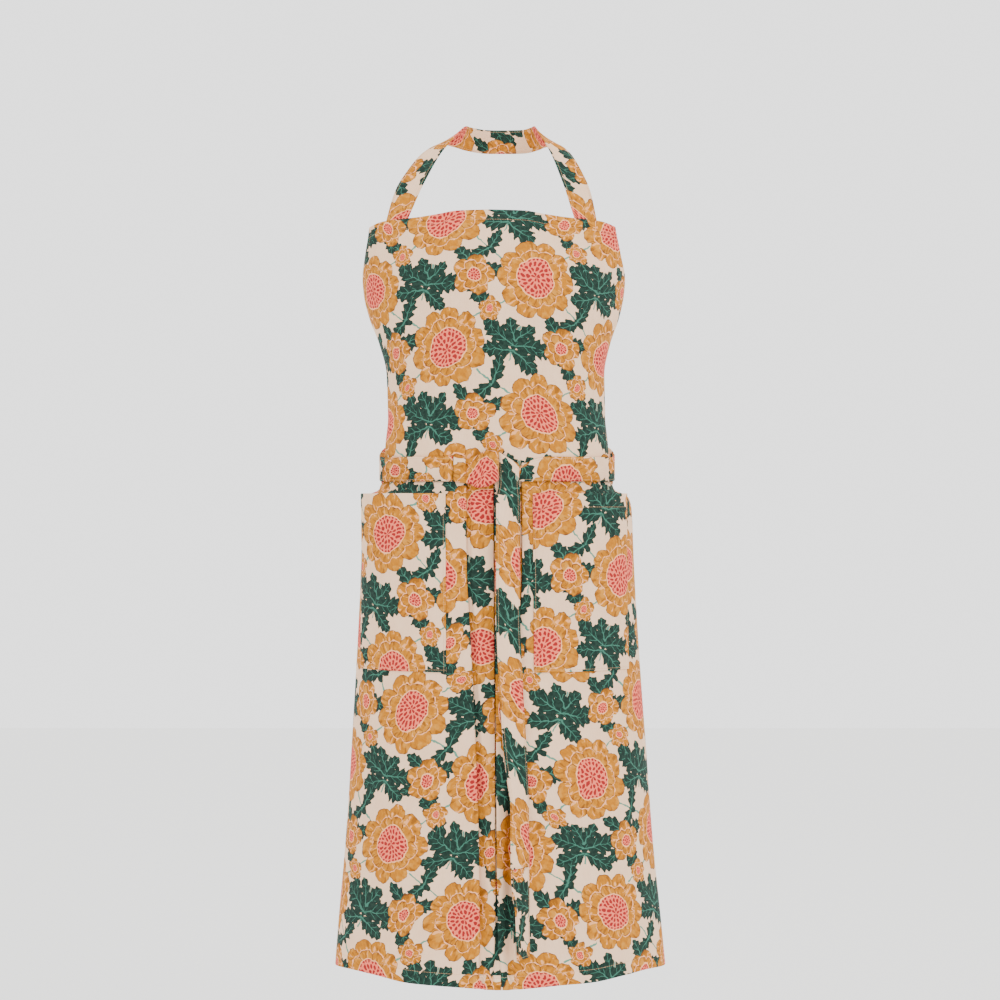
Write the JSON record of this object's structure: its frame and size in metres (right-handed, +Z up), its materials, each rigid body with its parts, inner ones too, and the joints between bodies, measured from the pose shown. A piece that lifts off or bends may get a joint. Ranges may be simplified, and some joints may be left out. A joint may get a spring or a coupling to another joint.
{
  "type": "bib apron",
  "caption": "Bib apron of printed cotton held in the form it has when worn: fitted bib, neck strap loop, pleated skirt, patch pockets and waist ties knotted in front with hanging ends",
  "frame": {"origin": "on the inner face of the neck strap where it lies on the nape of the neck", "axes": "+Z up, -Y out of the front of the bib and skirt, +X to the right of the front view"},
  "size_m": [0.439, 0.2603, 1.1278],
  "materials": {
    "printed_cotton": "matte cotton twill, pinkish beige with a printed pattern of ochre flowers and dark green leaves"
  },
  "bodies": {
    "root": {"bib": "printed_cotton", "skirt": "printed_cotton", "pocket_left": "printed_cotton", "pocket_right": "printed_cotton", "neck_strap": "printed_cotton", "waist_tie_left": "printed_cotton", "waist_tie_right": "printed_cotton", "tie_knot": "printed_cotton", "tie_tail_front": "printed_cotton", "tie_tail_back": "printed_cotton"}
  },
  "joints": []
}
